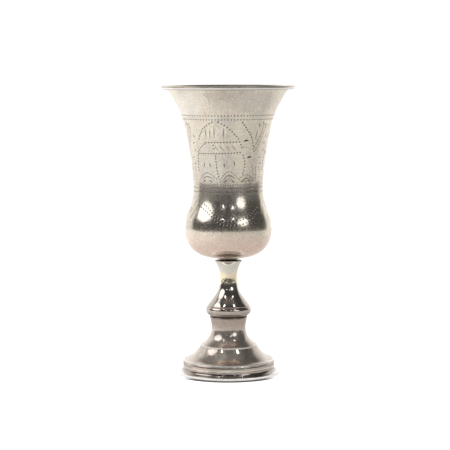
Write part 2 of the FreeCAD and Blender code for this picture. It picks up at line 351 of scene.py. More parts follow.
# ---- silver -------------------------------------------------------------------------------
PINK = rgb(0.84, 0.70, 0.62)
SAGE = rgb(0.78, 0.79, 0.69)
GREY = rgb(0.66, 0.60, 0.54)
BROWN = rgb(0.42, 0.34, 0.28)
# the next colour paints shade under the bowl, in the knop's groove and on the resting ring's bevel; in
# the lip's corner it is painted shade and tarnish
TARNISH_AND_PAINTED_SHADE = rgb(0.09, 0.075, 0.06)
SALMON = rgb(0.90, 0.68, 0.57)
GOLDEN = rgb(1.0, 0.87, 0.62)
WARM = rgb(1.0, 0.93, 0.77)
PALE = rgb(0.97, 0.93, 0.85)
WORN = rgb(0.97, 0.95, 0.91)


def silver(name, base, clouds, hue, haze, rough, wave, seed, wave_scale=0.16, pits=0.25,
           mottled=0.3, stain_and_shade=None, polish=None):
    """Worn silver: tarnish clouds, faint colour films, haze, turning marks, dents and pits.

    clouds, hue, haze, pits and mottled say how strong each is, and wave is a dent's depth in
    millimetres. The stain function, given k, at, color and small, recolours a piece's own places
    with stains, wear and painted light and shade, and polish(k, small) says where its haze is rubbed off.
    """
    mat, k = new_material(name)
    at = k.millimetres((seed, seed * 2, seed * 3))
    big = k.noise(at, 0.055, 4, 0.6, 0.6)
    small = k.noise(at, 0.5, 5, 0.65)
    films = k.noise(k.stretch(at, 1, 1, 2.2, (31, 7, 13)), 0.11, 3, 0.5, 0.8)
    grain = k.noise(at, 3.2, 2, 0.6)
    marks = k.noise(k.stretch(at, 0.25, 0.25, 7.0), 0.6, 3, 0.7)
    color = k.mix(k.step(films, 0.50, 0.66, 0.0, hue), base, PINK)
    color = k.mix(k.step(films, 0.34, 0.50, hue, 0.0), color, SAGE)
    color = k.mix(k.step(big, 0.48, 0.66, 0.0, clouds), color, GREY)
    mottle = k.noise(k.stretch(at, 1, 1, 0.5, (5, 3, 2)), 0.75, 4, 0.7)
    color = k.mix(k.step(mottle, 0.36, 0.64, mottled, 0.0), color, GREY)
    color = k.mix(k.step(mottle, 0.56, 0.72, 0.0, mottled), color, WORN)
    color = k.mix(k.step(small, 0.58, 0.74, 0.0, pits), color, BROWN)
    color = k.mix(k.step(grain, 0.66, 0.76, 0.0, pits), color, BROWN)
    if stain_and_shade:
        color = stain_and_shade(k, at, color, small)
    dull = k.step(k.noise(at, 5.5, 1, 0.5), 0.44, 0.60, 0.0, haze)
    if polish:
        dull = k.math("MULTIPLY", dull, k.math("SUBTRACT", 1.0, polish(k, small)))
    roughness = k.math("ADD", dull, rough)
    roughness = k.math("ADD", roughness, k.step(small, 0.5, 0.7, 0.0, 0.06))
    dented = k.bump(1.0, wave, k.noise(at, wave_scale, 2, 0.5))
    marked = k.bump(0.1, 0.02, marks, dented)
    pitted = k.bump(0.4 * pits, 0.03, grain, marked)
    k.metal(color, 1.0, roughness, pitted)
    return mat


def cut_metal(name, one, other, metal, rough):
    """The inside of a graver's cut, in one of two kinds: near-white and only a little metallic, a painted
    glint; dull with the tarnish that stays in it.
    """
    mat, k = new_material(name)
    k.metal(k.mix(k.step(k.noise(k.millimetres(), 0.8, 2, 0.6), 0.4, 0.6), one, other), metal, rough)
    return mat


def plain_metal(name, bright, dark, rough, scale):
    """Turned metal of the hidden fastening, with dull patches and turning marks."""
    mat, k = new_material(name)
    at = k.millimetres()
    patches = k.noise(at, scale, 5, 0.65)
    marks = k.noise(k.stretch(at, 0.4, 0.4, 5.0), 0.8, 3, 0.7)
    color = k.mix(k.step(patches, 0.42, 0.62), bright, dark)
    k.metal(color, 1.0, k.step(patches, 0.4, 0.65, rough, rough + 0.2), k.bump(0.4, 0.04, marks))
    return mat


def wandering(k, value, small, reach):
    """A place in millimetres that the fine noise moves to and fro, so that borders are ragged."""
    return k.math("ADD", value, k.math("MULTIPLY", k.math("SUBTRACT", small, 0.5), reach))


def patch_at(k, x, z, middle_x, middle_z, half_wide, half_high):
    """One inside an oval patch and nothing outside it, with a soft border."""
    dx = k.math("DIVIDE", k.math("SUBTRACT", x, middle_x), half_wide)
    dz = k.math("DIVIDE", k.math("SUBTRACT", z, middle_z), half_high)
    return k.step(k.length(dx, dz), 0.6, 1.25, 1.0, 0.0)


# smoky clouds on the front of the bowl, some of them painted light and shade that make the upper left
# paler and the right greyer: middle x, middle z, half width, half height, tint, strength
BOWL_CLOUDS_AND_PAINTED_LIGHT = (
    (9.0, 128.5, 17.0, 5.0, GREY, 0.50),
    (-3.0, 131.0, 9.0, 2.6, BROWN, 0.35),
    (-1.0, 119.5, 5.0, 2.6, GREY, 0.55),
    (-17.0, 127.0, 6.0, 7.0, PALE, 0.5),
    (-11.5, 98.0, 5.0, 13.0, GREY, 0.35),
    (-6.0, 97.0, 7.0, 6.0, SAGE, 0.4),
    (5.0, 104.0, 3.5, 17.0, WARM, 0.6),
    (12.0, 112.0, 3.0, 12.0, GREY, 0.15),
    (-1.5, 92.0, 2.5, 2.6, BROWN, 0.45),
    (9.5, 91.5, 2.2, 3.5, BROWN, 0.55),
)


def bowl_stain_and_shade(k, at, color, small):
    """Pinkish below, with smoky clouds, some of them painted light and shade, fine speckles, and painted
    shade round the boss and at the front and back of the bowl's bottom.
    """
    x, y, z = k.axes(k.millimetres())
    zw, xw = wandering(k, z, small, 14.0), wandering(k, x, small, 14.0)
    color = k.mix(k.step(zw, 60.0, 71.0, 0.85, 0.0), color, SALMON)
    for *patch, tint, strength in BOWL_CLOUDS_AND_PAINTED_LIGHT:
        color = k.mix(k.math("MULTIPLY", patch_at(k, xw, zw, *patch), strength), color, tint)
    speckle = k.noise(at, 1.5, 2, 0.6)
    color = k.mix(k.step(speckle, 0.52, 0.66, 0.0, 0.55), color, GREY)
    color = k.mix(k.step(speckle, 0.36, 0.48, 0.5, 0.0), color, WORN)
    xw, zw = wandering(k, x, small, 3.0), wandering(k, z, small, 0.8)
    # painted shade at the front and back of the bowl's bottom, above the stem cap, and round the boss
    # below it
    painted_shade_spot = patch_at(k, xw, zw, 0.0, 56.9, 6.5, 1.1)
    color = k.mix(k.math("MULTIPLY", painted_shade_spot, 0.8), color, TARNISH_AND_PAINTED_SHADE)
    near_axis, near_bottom = k.step(k.length(x, y), 7.0, 11.5, 0.85, 0.0), k.step(z, 55.9, 56.6, 1.0, 0.0)
    return k.mix(k.math("MULTIPLY", near_axis, near_bottom), color, TARNISH_AND_PAINTED_SHADE)


def bowl_polish(k, small):
    """The bulge is rubbed bright where a hand holds it."""
    zw = wandering(k, k.height(), small, 5.0)
    return k.math("MULTIPLY", k.window(zw, 66.0, 82.0, 3.0), 0.5)


def lip_wear_and_shade(k, at, color, small):
    """Lighter all over, partly rubbed bright and partly a painted highlight, with painted shade and
    tarnish in the corner where the wire meets the bowl.
    """
    color = k.mix(0.6, color, WORN)
    return k.mix(k.step(k.height(), WIRE_LOW + 0.10, WIRE_LOW + 0.35, 0.9, 0.0), color, TARNISH_AND_PAINTED_SHADE)


def stem_stain(k, at, color, small):
    """Sage near the top, golden below it, as heat and lacquer leave it, and dull at the skirt."""
    zw = wandering(k, k.height(), small, 3.0)
    color = k.mix(k.math("MULTIPLY", k.window(zw, 43.0, 47.5, 1.2), 0.9), color, GOLDEN)
    color = k.mix(k.step(zw, 36.0, 42.5, 0.55, 0.0), color, rgb(0.42, 0.36, 0.33))
    return k.mix(k.step(zw, 47.5, 50.0, 0.0, 0.35), color, SAGE)


def knop_painted_shade(k, at, color, small):
    """Painted shade: darker below its widest line, and black in the groove over the collar."""
    z = k.height()
    painted_shade_below = k.step(wandering(k, z, small, 1.0), 28.6, 30.4, 0.75, 0.0)
    color = k.mix(painted_shade_below, color, rgb(0.40, 0.34, 0.31))
    return k.mix(k.window(z, COLLAR_TOP - 0.1, COLLAR_TOP + 0.5, 0.08), color, TARNISH_AND_PAINTED_SHADE)


def foot_painted_light_and_wear(k, at, color, small):
    """Painted shade up under the knop, and rubbed bright with a painted highlight on the step and the
    rolled edge.
    """
    x, y, z = k.axes(k.millimetres())
    r = k.length(x, y)
    painted_shade_below = k.step(wandering(k, z, small, 2.0), 20.0, 24.5, 0.0, 0.7)
    color = k.mix(painted_shade_below, color, rgb(0.50, 0.40, 0.35))
    # the step and the rolled edge are lightened as a painted highlight as well as wear
    step = k.math("MULTIPLY", k.window(z, DOME_TOP + 0.3, STEP_TOP + 0.2, 0.1), k.step(r, 12.8, 13.0))
    edge = k.step(r, 20.62, 20.72)
    return k.mix(k.math("MAXIMUM", step, edge), color, WORN)


def base_painted_shade(k, at, color, small):
    """Painted shade on the bevel near the table."""
    return k.mix(k.step(k.height(), 0.25, 0.40, 0.6, 0.0), color, TARNISH_AND_PAINTED_SHADE)


SILVER_BOWL = silver("bowl_silver_worn", base=rgb(0.92, 0.835, 0.67), clouds=0.6, hue=0.5, haze=0.36,
                     rough=0.12, wave=0.10, wave_scale=0.09, pits=0.4, seed=4.0, stain_and_shade=bowl_stain_and_shade,
                     polish=bowl_polish, mottled=0.45)
TARNISHED_CUT = cut_metal("tarnished_cut", rgb(0.07, 0.035, 0.018), rgb(0.025, 0.012, 0.006),
                          0.0, 0.85)
# the bright cut is a painted glint: near-white and mostly not metallic, so it shows white wherever it is
PAINTED_GLINT_CUT = cut_metal("painted_glint_cut", rgb(1.0, 0.99, 0.95), rgb(0.97, 0.94, 0.88), 0.2, 0.35)
SILVER_LIP = silver("lip_silver_worn", base=rgb(0.90, 0.85, 0.80), clouds=0.35, hue=0.4, haze=0.3,
                    rough=0.14, wave=0.10, seed=9.0, stain_and_shade=lip_wear_and_shade)
SILVER_STEM = silver("stem_silver_worn", base=rgb(0.95, 0.89, 0.80), clouds=0.3, hue=0.35, haze=0.10,
                     rough=0.05, wave=0.12, wave_scale=0.22, pits=0.15, seed=1.0, stain_and_shade=stem_stain)
SILVER_KNOP = silver("knop_silver_worn", base=rgb(0.58, 0.52, 0.47), clouds=0.5, hue=0.5, haze=0.10,
                     rough=0.06, wave=0.12, wave_scale=0.25, pits=0.2, seed=6.0, stain_and_shade=knop_painted_shade)
SILVER_FOOT = silver("foot_silver_worn", base=rgb(0.76, 0.665, 0.585), clouds=0.5, hue=0.55, haze=0.46,
                     rough=0.08, wave=0.15, wave_scale=0.2, pits=0.5, seed=3.0, stain_and_shade=foot_painted_light_and_wear,
                     mottled=0.55)
SILVER_BAND = silver("band_silver_worn", base=rgb(0.56, 0.50, 0.44), clouds=0.4, hue=0.9, haze=0.15,
                     rough=0.10, wave=0.08, seed=8.0)
SILVER_COVE = silver("cove_silver_tarnished", base=rgb(0.40, 0.35, 0.32), clouds=0.4, hue=0.3,
                     haze=0.10, rough=0.08, wave=0.06, seed=7.0)
SILVER_BASE = silver("base_silver_worn", base=rgb(0.99, 0.98, 0.95), clouds=0.1, hue=0.0, haze=0.3,
                     rough=0.12, wave=0.04, pits=0.1, seed=5.0, mottled=0.1, stain_and_shade=base_painted_shade)
SILVER_HIDDEN = plain_metal("solder_silver", rgb(0.70, 0.66, 0.60), rgb(0.36, 0.31, 0.27), 0.28, 0.4)
BRASS = plain_metal("brass_fastening", rgb(0.72, 0.52, 0.24), rgb(0.42, 0.28, 0.13), 0.24, 0.5)


# ---- the engraved pattern -----------------------------------------------------------------
# Positions are an angle in degrees round the bowl, 0 at the front, and a height in millimetres.
PATTERN_R = 18.0          # radius at which an angle is turned into millimetres
ROOM = 0.02               # least distance between two cuts
BACK_GAP = 0.05           # least distance from a cut to the line where the net closes at the back
# depths of the dark cuts, the bright ticks, the light strokes and the fine lines
DEEP, CLEAN, LIGHT, THIN = 0.16, 0.10, 0.08, 0.06
DARK, BRIGHT = 1, 2       # material slots of the bowl for a tarnished cut and a cut painted as a glint
# how far the floor of each kind of groove lies to its upper side, as a share of half its width
LEAN = {DARK: 0.5, BRIGHT: -0.5}
CELL = 0.5                # the surface is sorted into square cells of this size
cuts = []                 # each a path of (u, z, half width) with pointed ends, its slope and its slot
taken = {}                # cells of the surface that hold cuts already


def flat(a, z):
    """A point of the unrolled pattern, in millimetres."""
    return math.radians(a) * PATTERN_R, z


def back(u, z):
    """The angle and height of a point of the unrolled pattern."""
    return math.degrees(u / PATTERN_R), z


def cell(u, z, size=CELL):
    """The square cell of the unrolled pattern that holds a point."""
    return int(u // size), int(z // size)


def samples_of(path):
    """Points and half widths close together along a path."""
    apart = 0.12
    samples = []
    for (u0, z0, w0), (u1, z1, w1) in zip(path, path[1:]):
        n = max(2, int(math.hypot(u1 - u0, z1 - z0) / apart) + 1)
        samples += [(u0 + (u1 - u0) * i / n, z0 + (z1 - z0) * i / n, w0 + (w1 - w0) * i / n)
                    for i in range(n + 1)]
    return samples


def crowded(samples):
    """Whether a path would come too near to an earlier cut."""
    around = range(-2, 3)
    for u, z, w in samples:
        cu, cz = cell(u, z)
        for du in around:
            for dz in around:
                for tu, tz, tw in taken.get((cu + du, cz + dz), ()):
                    if math.hypot(u - tu, z - tz) < w + tw + ROOM:
                        return True
    return False


def cut(points, width, depth=DEEP, slot=DARK):
    """One stroke of the graver through the points: a V-shaped groove with pointed ends."""
    flat_points = np.array([flat(a, z) for a, z in points])
    seg = np.hypot(*np.diff(flat_points, axis=0).T)
    t = np.r_[0, np.cumsum(seg)] / seg.sum()
    piece, fewest, most = 0.45, 4, 14
    count = max(fewest, min(most, int(seg.sum() / piece) + 1))
    s = np.linspace(0, 1, count + 1)
    u, z = np.interp(s, t, flat_points[:, 0]), np.interp(s, t, flat_points[:, 1])
    path = list(zip(u, z, 0.5 * width * np.sin(math.pi * s)))
    samples = samples_of(path)
    if max(abs(u)) > math.pi * PATTERN_R - BACK_GAP or crowded(samples):
        return
    cuts.append((path, depth / (0.5 * width), slot))
    for sample in samples:
        taken.setdefault(cell(*sample[:2]), []).append(sample)


def tick(middle, way, length, width, slot=DARK, depth=DEEP):
    """A short straight cut round a point of the flat pattern."""
    reach = np.array(way) * length / 2
    cut([back(*(middle - reach)), back(*(middle + reach))], width, depth, slot)


def curve_points(points):
    """A smooth path through a few points, about evenly divided (Catmull-Rom)."""
    count = 60
    p = np.array(points, float)
    if len(p) == 2:
        return line(p[0], p[1], count)
    ends = np.vstack([2 * p[0] - p[1], p, 2 * p[-1] - p[-2]])
    per = max(3, count // (len(p) - 1))
    out = [p[0]]
    for a, b, c, d in zip(ends, ends[1:], ends[2:], ends[3:]):
        for s in np.linspace(0, 1, per + 1)[1:]:
            out.append(0.5 * (2 * b + (c - a) * s + (2 * a - 5 * b + 4 * c - d) * s ** 2
                              + (3 * b - a - 3 * c + d) * s ** 3))
    return np.array(out)


def along(points, pitch):
    """Positions and directions at equal steps along a smooth path, in millimetres."""
    fine = curve_points(points)
    f = np.c_[np.radians(fine[:, 0]) * PATTERN_R, fine[:, 1]]
    t = np.r_[0, np.cumsum(np.hypot(*np.diff(f, axis=0).T))]
    n = max(1, round(t[-1] / pitch))
    s = np.linspace(0, t[-1], n + 1)
    pos = np.c_[np.interp(s, t, f[:, 0]), np.interp(s, t, f[:, 1])]
    mid = np.gradient(f, t, axis=0)
    d = np.c_[np.interp(s, t, mid[:, 0]), np.interp(s, t, mid[:, 1])]
    return pos, d / np.hypot(d[:, 0], d[:, 1])[:, None]


def wriggle(points, pitch=1.4, swing=0.12, dark=(0.74, 0.78), bright=(0.46, 0.44)):
    """Wriggle-work: the graver rocks from side to side, digs in on one and burnishes on the other.

    dark and bright are the length and width of the two kinds of tick.
    """
    pos, d = along(points, pitch / 2)
    side = np.c_[-d[:, 1], d[:, 0]]
    for i, (p, run, out) in enumerate(zip(pos, d, side)):
        if i % 2:
            # the burnished tick gets the painted glint
            tick(p - swing * out, run, *bright, BRIGHT, CLEAN)
        else:
            tick(p + swing * out, run, *dark)


def beads(points, pitch=1.5, size=1.0):
    """A row of round pricks, with no swing, and a bright tick between each two."""
    wriggle(points, pitch, 0.0, (0.78 * size, 0.78 * size), (0.44 * size, 0.40 * size))


def band(z):
    """A row of wriggle-work right round the bowl, from one side of its back to the other."""
    ticks, side = 90, 179.6
    wriggle([(-side, z), (-90, z), (0, z), (90, z), (side, z)],
            math.tau * PATTERN_R / ticks, 0.10, (0.62, 0.62), (0.40, 0.36))


def leaf(a, z, length, turn, width, bend=0.25):
    """A plump curved cut, pointed at both ends, turned by an angle in degrees."""
    t = math.radians(turn)
    pts = []
    for s in np.linspace(0, 1, 7):
        along_leaf, across = (s - 0.5) * length, bend * length * (0.25 - (s - 0.5) ** 2)
        u = along_leaf * math.cos(t) - across * math.sin(t)
        v = along_leaf * math.sin(t) + across * math.cos(t)
        pts.append((a + math.degrees(u / PATTERN_R), z + v))
    cut(pts, width)


def moved_to(c):
    """A function that moves the points of a motif round the bowl to its middle line c."""
    return lambda *points: [(c + a, z) for a, z in points]


def pavilion(c):
    """A domed summer house: hatched roof, two cornices, posts and small windows."""
    q = moved_to(c)
    wriggle(q((-33, 109.1), (-10, 109.2), (12, 109.4)))
    wriggle(q((-48, 103.9), (-30, 104.0), (0, 104.2), (20, 104.6)))
    wriggle(q((-21, 118.7), (-33, 116.4), (-41, 113.2), (-46, 110.4)))
    wriggle(q((-13, 118.4), (-4, 116.6), (6, 113.6), (14, 110.4), (20, 106.2)), swing=0.3)
    wriggle(q((-36, 108.6), (-43, 107.0), (-50, 104.9)))
    for i, a in enumerate(np.linspace(-32, 6, 13)):
        top = 118.0 - 0.006 * (a + 14) ** 2
        hatch = q((a + 0.8, top - 0.7 * (i % 3)), (a, 110.9 + 0.5 * (i % 2)))
        cut(hatch, 0.28, THIN, BRIGHT if i % 2 else DARK)
    for a in (-20, -12, -3, 6):
        cut(q((a, 108.1), (a + 3.4, 106.4), (a + 6.0, 105.5)), 0.26, THIN)
    wriggle(q((-22, 108.0), (-21, 105.6)))
    wriggle(q((-19.5, 103.2), (-19, 98.5), (-16.5, 93.6)), swing=0.2)
    wriggle(q((22, 103.4), (25, 100.4), (25.5, 97.4), (22.5, 94.4)), swing=0.2)
    wriggle(q((-51, 103.2), (-53, 99.6), (-53.5, 95.6)))
    for a, z in ((-39.5, 99.0), (-29, 98.8), (-6, 98.8), (9.5, 99.8)):
        cut(q((a - 0.3, z + 1.1), (a + 0.3, z - 1.1)), 0.5)
    # scallops along the foot of the walls, each with a bud in it
    for a0, a1, top in ((-51, -19, 95.2), (-13, 16, 95.8), (19, 40, 94.4)):
        mid = (a0 + a1) / 2
        beads(q((a0, 92.2), (mid - 5, top - 0.4), (mid + 4, top - 0.2), (a1, 92.6)), 1.2, 0.8)
        cut(q((a0 + 3, 91.6), (mid - 3, top - 1.7), (mid + 4, top - 1.8), (a1 - 2, 91.8)), 0.3, THIN)
        for j, bud in enumerate((-6.0, 0.0, 6.0)):
            leaf(c + mid + bud, 91.4 + 0.5 * (j % 2), 2.2, 30 - 30 * j, 0.5)
        beads(q((a0 + 1, 89.9), (mid, 89.6), (a1 + 1, 90.1)), 1.25, 0.8)


def feather(points):
    """A stem with slanted barbs to both sides."""
    pitch, length, slant = 0.95, 1.7, 0.75
    pos, d = along(points, pitch)
    for i, (p, run) in enumerate(zip(pos, d)):
        for hand in (-1, 1):
            c, s = math.cos(slant), math.sin(slant) * hand
            barb = np.array((run[0] * c - run[1] * s, run[0] * s + run[1] * c))
            tick(p - barb * (0.6 + 0.12 * (i % 2)) * length, barb, length * (0.9 - 0.1 * (i % 3)), 0.3)


def spray(c):
    """A leafy branch that forks beside the pavilion."""
    q = moved_to(c)
    wriggle(q((-42, 118.2), (-36, 115.6), (-29, 112.6), (-24.5, 110.0), (-22, 106.4), (-19, 104.4)),
            swing=0.3)
    for a, z, length, turn, width, bend in (
            (-42.4, 116.3, 2.1, 5, 0.7, 0.5), (-34, 109.8, 2.6, 8, 0.75, 0.6),
            (-26.6, 102.3, 2.8, 10, 0.75, 0.3), (-5.4, 102.1, 1.6, 15, 0.55, 0.3),
            (2.8, 108.8, 1.8, 12, 0.5, 0.3), (-14.3, 117.1, 1.9, 88, 0.5, 0.2),
            (-8, 118.1, 1.5, 80, 0.4, 0.2), (-1, 115.8, 1.5, 20, 0.45, 0.3),
            (5, 112.0, 1.9, 120, 0.45, 0.2), (-2, 99.2, 1.9, 20, 0.45, 0.2),
            (7, 97.0, 1.9, 140, 0.45, 0.2), (4, 105.4, 1.7, 60, 0.4, 0.2)):
        leaf(c + a, z, length, turn, width, bend)
    feather(q((-4, 116.8), (-5.6, 113.2), (-13, 108.8), (-19.5, 105.4)))
    cut(q((-16, 115.0), (-18, 112.4), (-18.5, 110.2)), 0.34, LIGHT)
    beads(q((-20, 98.0), (-17.5, 96.2), (-16, 93.6), (-19, 90.6)), 1.25, 0.85)
    beads(q((-13, 97.4), (-10.5, 95.4), (-9.5, 92.8)), 1.25, 0.85)
    beads(q((-4, 97.6), (-1, 95.4), (0, 92.4)), 1.25, 0.85)


def garland(c):
    """A hanging garland of two beaded lines, with a hatched tassel at its end."""
    q = moved_to(c)
    for drop in (0.0, 2.0):
        beads(q((-44, 81.2 - drop), (-33, 79.5 - drop), (-21, 76.2 - 0.8 * drop), (-10, 74.1 - drop),
                (9, 73.5 - drop), (25, 74.7 - drop), (40, 77.5 - 0.9 * drop), (48, 79.0 - 0.8 * drop)))
    for i in range(6):
        lift = 0.9 * i
        cut(q((49 + 1.5 * i, 76.4 + lift), (55 + 1.5 * i, 79.2 + 0.8 * lift)), 0.3, LIGHT)
        cut(q((56 + 1.2 * i, 75.6 + lift), (58.5 + 1.2 * i, 73.6 + lift)), 0.28, LIGHT)


for height in (121.4, 119.6, 88.0, 86.1):
    band(height)
for middle in (-120, 0, 120):
    pavilion(middle)
    garland(middle)
for middle in (-60, 60):
    spray(middle)
leaf(-66, 117.0, 2.2, 15, 0.6)


# ---- the bowl -----------------------------------------------------------------------------
ENGRAVED_LOW, ENGRAVED_HIGH = 70.0, 123.5    # heights between which the net holds cuts
NET_STEP = 0.62           # height of a row of the net
NET_CELL = 0.6            # cell in which the net looks for cuts
NET_GAP = 0.17            # least distance from a point of the net to a cut's edge
SNAP = 1e-7               # how near two points of the net are taken as one


def engraved_band(b, curve, low_ring, high_ring):
    """The engraved part of the bowl: a fine net of triangles with the cuts let into it."""
    seam_u = math.pi * PATTERN_R
    normal = tangents(curve)
    pts, edges, depth, kind = [], [], [], []

    def add(u, z, d=0.0, slot=0):
        pts.append(Vector((u, z)))
        depth.append(d)
        kind.append(slot)
        return len(pts) - 1

    us = np.r_[ANGLES * PATTERN_R, seam_u]
    rows = len(curve)
    busy = {}
    for path, _, _ in cuts:
        for (ua, za, wa), (ub, zb, wb) in zip(path, path[1:]):
            for s in (0, 0.5, 1):
                u, z, w = ua + (ub - ua) * s, za + (zb - za) * s, wa + (wb - wa) * s
                busy.setdefault(cell(u, z, NET_CELL), []).append((u, z, w))

    def near_cut(u, z):
        cu, cz = cell(u, z, NET_CELL)
        return any(math.hypot(u - tu, z - tz) < tw + NET_GAP
                   for du in (-1, 0, 1) for dz in (-1, 0, 1)
                   for tu, tz, tw in busy.get((cu + du, cz + dz), ()))

    fixed = {}
    for i in range(rows):
        z = curve[i, 1]
        for j, u in enumerate(us):
            on_edge = i in (0, rows - 1) or j in (0, COLUMNS)
            shift = 0.0 if on_edge or i % 2 == 0 else 0.5 * (us[1] - us[0])
            if on_edge or not near_cut(u + shift, z):
                v = add(u + shift, z)
                if on_edge:
                    fixed[(i, j)] = v
    border = ([(0, j) for j in range(COLUMNS)]
              + [(i, COLUMNS) for i in range(rows - 1)]
              + [(rows - 1, j) for j in range(COLUMNS, 0, -1)]
              + [(i, 0) for i in range(rows - 1, 0, -1)])
    edges += [(fixed[p], fixed[q]) for p, q in zip(border, border[1:] + border[:1])]
    for path, slope, slot in cuts:
        p = np.array(path)
        d = np.gradient(p[:, :2], axis=0)
        d /= np.hypot(d[:, 0], d[:, 1])[:, None]
        side = np.c_[-d[:, 1], d[:, 0]] * p[:, 2:3]
        first, last = add(*p[0, :2]), add(*p[-1, :2])
        middle = range(1, len(p) - 1)
        left = [first] + [add(*(p[i, :2] + side[i])) for i in middle] + [last]
        right = [first] + [add(*(p[i, :2] - side[i])) for i in middle] + [last]
        # an upright cut has its upper side on the right
        up = np.where(side[:, 1:] + 0.3 * side[:, :1] >= 0, 1, -1) * side * LEAN[slot]
        floor_points = [add(*(p[i, :2] + up[i]), p[i, 2] * slope, slot) for i in middle]
        floor_line = [first] + floor_points + [last]
        for chain in (left, right, floor_line):
            edges += list(zip(chain, chain[1:]))
    co, _, tris, orig, _, _ = delaunay_2d_cdt(pts, edges, [], 0, SNAP)

    ids, deep, slots = [], [], []
    rz, rr, nr, nz = curve[:, 1], curve[:, 0], normal[:, 1], -normal[:, 0]
    edge_ids = {v: key for key, v in fixed.items()}
    for v, source in zip(co, orig):
        u, z = v
        key = next((edge_ids[s] for s in source if s in edge_ids), None)
        d = max((depth[s] for s in source), default=0.0)
        deep.append(d)
        slots.append(max((kind[s] for s in source), default=0))
        if key and key[0] == 0:
            ids.append(low_ring[key[1] % COLUMNS])
            continue
        if key and key[0] == rows - 1:
            ids.append(high_ring[key[1] % COLUMNS])
            continue
        if key and key[1] == COLUMNS:
            ids.append(("seam", key[0]))
            continue
        r, hr, hz = np.interp(z, rz, rr), np.interp(z, rz, nr), np.interp(z, rz, nz)
        a = u / PATTERN_R
        ids.append(len(b.co))
        if key:
            fixed[("made", key[0])] = len(b.co)
        b.co.append(((r - hr * d) * math.sin(a), -(r - hr * d) * math.cos(a), z - hz * d))
    ids = [fixed[("made", v[1])] if isinstance(v, tuple) else v for v in ids]

    def surface_normal(u, z):
        hr, hz, a = np.interp(z, rz, nr), np.interp(z, rz, nz), u / PATTERN_R
        s = math.hypot(hr, hz)
        return hr * math.sin(a) / s, -hr * math.cos(a) / s, hz / s

    normals = [surface_normal(*v) for v in co]
    for tri in tris:
        tri = list(tri)
        a, c, d = (co[i] for i in tri)
        if (c - a).cross(d - a) < 0:
            tri.reverse()
        corners = [ids[i] for i in tri]
        if len(set(corners)) < 3:
            continue
        if max(deep[i] for i in tri) > 0:
            p, q, s = (Vector(b.co[i]) for i in corners)
            n = (q - p).cross(s - p).normalized()
            b.face(corners, [tuple(n)] * 3, max(slots[i] for i in tri))
        else:
            b.face(corners, [normals[i] for i in tri])


def bowl():
    """The bowl: plain below and above, with the engraved band between, a round lip and the inside."""
    outer = spline(BOWL_CURVE, NET_STEP, flat_ends=True)
    half = SHEET / 2
    b = Builder()
    low = int(np.argmin(abs(outer[:, 1] - ENGRAVED_LOW)))
    high = int(np.argmin(abs(outer[:, 1] - ENGRAVED_HIGH)))
    bottom = b.turn(outer[:low + 1])
    top = b.turn(outer[high:])
    engraved_band(b, outer[low:high + 1], bottom[-1], top[0])
    lip_low, lip_high = (LIP_R - half, LIP_UNDER), (LIP_R - half, HEIGHT)
    inner = inside(outer)[::-1]
    curves = [line(outer[-1], lip_low, 2), arc(lip_low, (LIP_R, HEIGHT - half), lip_high),
              line(lip_high, inner[0], 2), inner]
    ring = top[-1]
    for curve in curves:
        ring = b.turn(np.array(curve, float), first=ring)[-1]
    return place(b.make("goblet_bowl", [SILVER_BOWL, TARNISHED_CUT, PAINTED_GLINT_CUT]), "bowl")


bowl()


# ---- the other turned pieces --------------------------------------------------------------
def half_round(inner_r, outer_r, low, high):
    """The profile of a ring with a half-round outer edge."""
    edge = outer_r - (high - low) / 2
    return [line((inner_r, low), (edge, low)),
            arc((edge, low), (outer_r, (low + high) / 2), (edge, high)),
            *lines((edge, high), (inner_r, high), (inner_r, low))]


def tube(curve):
    """The profile of a curved tube."""
    outer = spline(curve)
    inner = inside(outer, level=True)[::-1]
    return [outer, line(outer[-1], inner[0]), inner, line(inner[-1], outer[0])]


AT_45 = math.sqrt(0.5)    # sine and cosine at the middle of a quarter round
wire_round = LIP_UNDER - WIRE_LOW
wire_edge, on_round = WIRE_R - wire_round, wire_round * AT_45
bowl_outer = spline(BOWL_CURVE, FINE_STEP, flat_ends=True)
under_lip = bowl_outer[bowl_outer[:, 1] >= WIRE_LOW][::-1]
turned("lip_bead", [
    line((under_lip[-1][0], WIRE_LOW), (wire_edge, WIRE_LOW)),
    arc((wire_edge, WIRE_LOW), (wire_edge + on_round, LIP_UNDER - on_round), (WIRE_R, LIP_UNDER)),
    line((WIRE_R, LIP_UNDER), under_lip[0]),
    np.r_[under_lip[:-1], [(under_lip[-1][0], WIRE_LOW)]],
], SILVER_LIP, "lip_wire")

hole_r, cone_top_r, rim_r = 2.95, 3.4, CAP_R - 0.12
cap_edge = STEM_TOP + 0.45
turned("stem_cap_cone", [
    *lines((hole_r, CAP_TOP), (hole_r, CAP_TOP - SHEET), (CAP_R - 1.0, STEM_TOP), (rim_r, STEM_TOP)),
    arc((rim_r, STEM_TOP), (CAP_R, (STEM_TOP + cap_edge) / 2), (rim_r, cap_edge)),
    *lines((rim_r, cap_edge), (cone_top_r, CAP_TOP), (hole_r, CAP_TOP)),
], SILVER_STEM, "stem_cap")
turned("baluster_stem", tube(UPPER_STEM_CURVE), SILVER_STEM, "upper_stem")
fillet_hole_r, fillet_r = 9.0, 10.1
turned("seam_fillet", half_round(fillet_hole_r, fillet_r, KNOP_TOP, FILLET_TOP),
       SILVER_KNOP, "knop_fillet")

